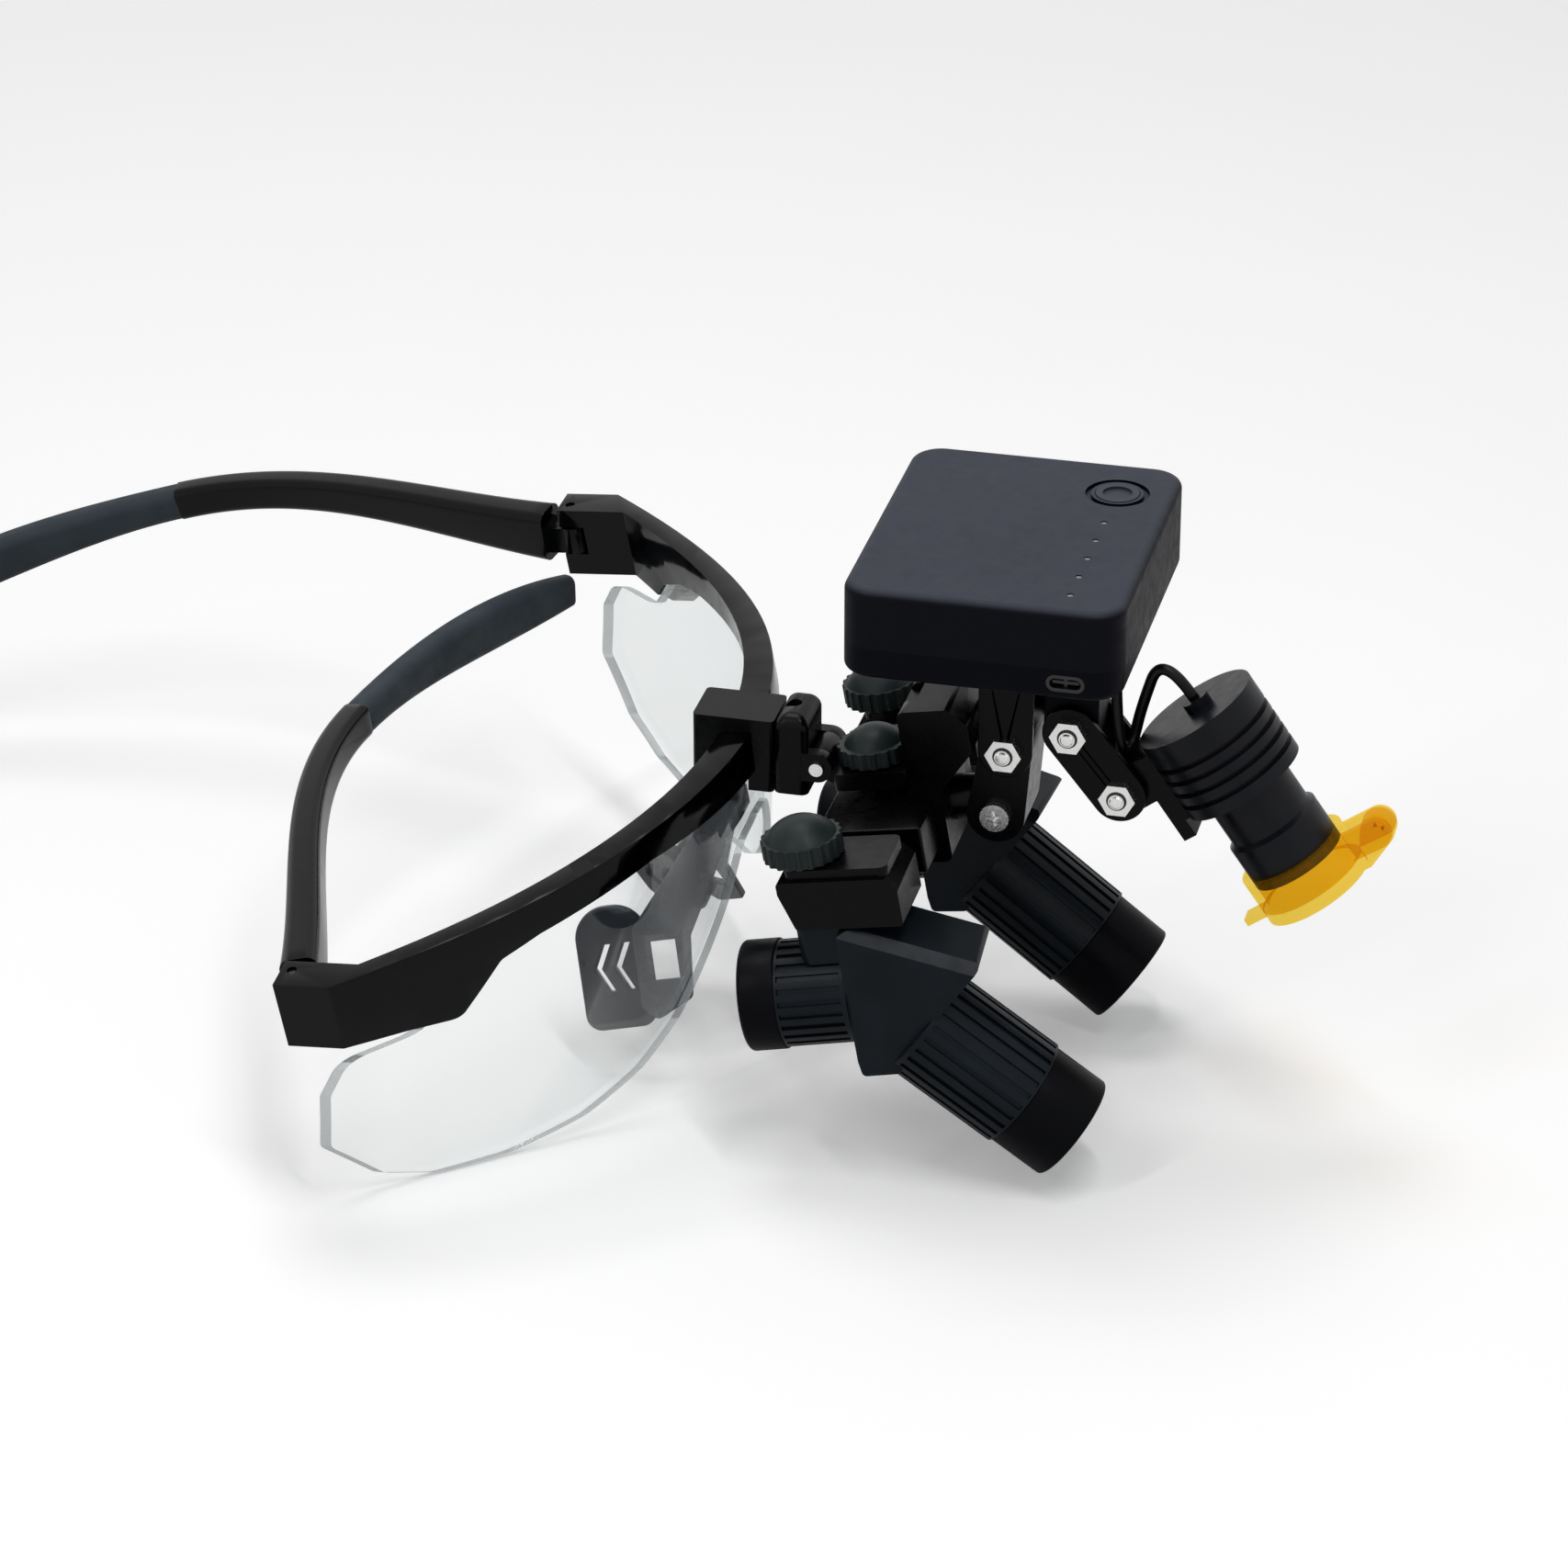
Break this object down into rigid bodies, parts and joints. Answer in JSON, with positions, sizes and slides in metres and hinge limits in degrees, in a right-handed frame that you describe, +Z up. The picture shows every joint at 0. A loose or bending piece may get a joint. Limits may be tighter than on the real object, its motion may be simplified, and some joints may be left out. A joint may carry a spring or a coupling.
{
  "type": "dental loupes",
  "caption": "Prismatic through-the-clip dental loupes on wrap glasses, with flip-up carrier, adjustable oculars, battery box and aimed headlight.",
  "frame": {"origin": "middle of the footprint, on the surface it stands on", "axes": "+X towards the wearer's left, +Y back towards the wearer, +Z up"},
  "size_m": [0.1522, 0.2808, 0.0968],
  "materials": {
    "frame_gloss": "gloss black nylon",
    "soft_grip": "matte grey-green soft grip",
    "clear_lens": "clear polycarbonate, hard coated",
    "bright_fixings": "bright nickel plate",
    "nose_plastic": "flexible dark plastic",
    "satin_black": "satin black moulded plastic",
    "knob_black": "satin black with a smooth domed cap",
    "bezel_black": "satin black anodised",
    "ocular_black": "satin black anodised, fluted",
    "optic_glass": "coated optical glass",
    "case_grey": "fine-textured dark grey",
    "case_navy": "satin near-black navy",
    "button_grey": "dark grey",
    "light_windows": "milky light windows",
    "port_black": "dark metal socket shell",
    "cell_wrap": "shrink-wrapped cell",
    "board_green": "circuit board",
    "lamp_black": "satin black anodised",
    "lamp_glass": "clear lamp lens",
    "emitter_yellow": "phosphor chip",
    "filter_orange": "translucent orange acrylic",
    "lead_black": "flexible black lead"
  },
  "bodies": {
    "glasses": {"brow_frame": "frame_gloss", "lens_shield": "clear_lens", "hinge_screws": "bright_fixings", "nose_bracket": "nose_plastic", "nose_pad_left": "soft_grip", "nose_pad_right": "soft_grip", "clamp_block": "satin_black", "clamp_screws": "bright_fixings"},
    "temple_arm_left": {"temple_left": "frame_gloss", "temple_tip_left": "soft_grip"},
    "temple_arm_right": {"temple_right": "frame_gloss", "temple_tip_right": "soft_grip"},
    "cant_knuckle": {"knuckle": "satin_black", "set_screw": "bright_fixings", "flip_pin": "bright_fixings"},
    "flip_arm": {"hinge_arm": "satin_black"},
    "height_wheel": {"height_knob": "knob_black"},
    "height_slide": {"slide_tower": "satin_black", "pd_bar": "satin_black", "neck_block": "satin_black", "bracket_bolts": "bright_fixings"},
    "pd_carriage_left": {"carriage_left": "satin_black"},
    "pd_carriage_right": {"carriage_right": "satin_black"},
    "pd_wheel_left": {"pd_knob_left": "knob_black"},
    "pd_wheel_right": {"pd_knob_right": "knob_black"},
    "ocular_left": {"eyepiece_ring_left": "bezel_black", "eye_lens_left": "optic_glass", "eyepiece_barrel_left": "ocular_black", "prism_housing_left": "ocular_black", "prism_left": "optic_glass", "objective_barrel_left": "ocular_black", "objective_bezel_left": "bezel_black", "objective_lens_left": "optic_glass"},
    "ocular_right": {"eyepiece_ring_right": "bezel_black", "eye_lens_right": "optic_glass", "eyepiece_barrel_right": "ocular_black", "prism_housing_right": "ocular_black", "prism_right": "optic_glass", "objective_barrel_right": "ocular_black", "objective_bezel_right": "bezel_black", "objective_lens_right": "optic_glass"},
    "battery_box": {"tilt_bracket": "satin_black", "case_bottom": "case_navy", "case_top": "case_grey", "status_lights": "light_windows", "battery_cell": "cell_wrap", "circuit_board": "board_green", "charge_port": "port_black", "lead_upper": "lead_black"},
    "power_switch": {"power_button": "button_grey"},
    "lamp_link": {"link_plates": "satin_black", "link_bolts": "bright_fixings", "lead_lower": "lead_black"},
    "lamp": {"lamp_body": "lamp_black", "lamp_barrel": "lamp_black", "lamp_lens": "lamp_glass", "led_emitter": "emitter_yellow", "lamp_mount": "satin_black", "filter_collar": "filter_orange"},
    "filter_flap": {"filter_lid": "filter_orange"}
  },
  "joints": [
    {"name": "temple_fold_left", "type": "hinge", "parent": "glasses", "child": "temple_arm_left", "pos_m": [0.05827, 0.00927, 0.05457], "axis": [-0.1478, 0.1342, 0.9799], "range_deg": [0, 58]},
    {"name": "temple_fold_right", "type": "hinge", "parent": "glasses", "child": "temple_arm_right", "pos_m": [-0.07104, 0.01753, 0.03393], "axis": [-0.1478, 0.1342, 0.9799], "range_deg": [0, 82]},
    {"name": "cant", "type": "hinge", "parent": "glasses", "child": "cant_knuckle", "pos_m": [-0.01093, -0.04861, 0.05588], "axis": [0, 1, 0], "range_deg": [-10, 10]},
    {"name": "flip_up", "type": "hinge", "parent": "cant_knuckle", "child": "flip_arm", "pos_m": [-0.01093, -0.05011, 0.05448], "axis": [-1, 0, 0], "range_deg": [0, 32]},
    {"name": "height_turn", "type": "hinge", "parent": "flip_arm", "child": "height_wheel", "pos_m": [-0.01093, -0.05849, 0.05503], "axis": [0, 0.1736, 0.9848], "range_deg": [-360, 120]},
    {"name": "height_slide", "type": "slide", "parent": "flip_arm", "child": "height_slide", "axis": [0, 0.1736, 0.9848], "range_m": [-0.004, 0.0012]},
    {"name": "pd_slide_left", "type": "slide", "parent": "height_slide", "child": "pd_carriage_left", "axis": [1, 0, 0], "range_m": [-0.003, 0.003]},
    {"name": "pd_turn_left", "type": "hinge", "parent": "pd_carriage_left", "child": "pd_wheel_left", "pos_m": [0.01667, -0.05342, 0.0515], "axis": [0, 0.1736, 0.9848], "range_deg": [-180, 180]},
    {"name": "vergence_left", "type": "hinge", "parent": "pd_carriage_left", "child": "ocular_left", "pos_m": [0.01667, -0.05713, 0.042], "axis": [0, -0.1736, -0.9848], "range_deg": [-4, 4]},
    {"name": "pd_slide_right", "type": "slide", "parent": "height_slide", "child": "pd_carriage_right", "axis": [-1, 0, 0], "range_m": [-0.003, 0.003]},
    {"name": "pd_turn_right", "type": "hinge", "parent": "pd_carriage_right", "child": "pd_wheel_right", "pos_m": [-0.03853, -0.05342, 0.0515], "axis": [0, 0.1736, 0.9848], "range_deg": [-180, 180]},
    {"name": "vergence_right", "type": "hinge", "parent": "pd_carriage_right", "child": "ocular_right", "pos_m": [-0.03853, -0.05713, 0.042], "axis": [0, 0.1736, 0.9848], "range_deg": [-4, 4]},
    {"name": "box_tilt", "type": "hinge", "parent": "height_slide", "child": "battery_box", "pos_m": [-0.01093, -0.08031, 0.06188], "axis": [1, 0, 0], "range_deg": [-8, 8]},
    {"name": "power_press", "type": "slide", "parent": "battery_box", "child": "power_switch", "axis": [0, 0, -1], "range_m": [0, 0.0005], "stiffness_N_per_m": 600, "springref_m": -0.0005},
    {"name": "link_swing", "type": "hinge", "parent": "battery_box", "child": "lamp_link", "pos_m": [-0.01093, -0.09001, 0.06528], "axis": [-1, 0, 0], "range_deg": [-10, 20], "deforming": ["lead_lower"]},
    {"name": "lamp_aim", "type": "hinge", "parent": "lamp_link", "child": "lamp", "pos_m": [-0.01093, -0.09793, 0.05549], "axis": [-1, 0, 0], "range_deg": [-12, 20]},
    {"name": "filter_flip", "type": "hinge", "parent": "lamp", "child": "filter_flap", "pos_m": [-0.01093, -0.13768, 0.05241], "axis": [-1, 0, 0], "range_deg": [0, 100]}
  ],
  "couplings": [
    {"joint": "height_turn", "follows": "height_slide", "rad_per_m": 1570.8},
    {"joint": "pd_turn_left", "follows": "pd_slide_left", "rad_per_m": 1000},
    {"joint": "pd_turn_right", "follows": "pd_slide_right", "rad_per_m": 1000}
  ]
}
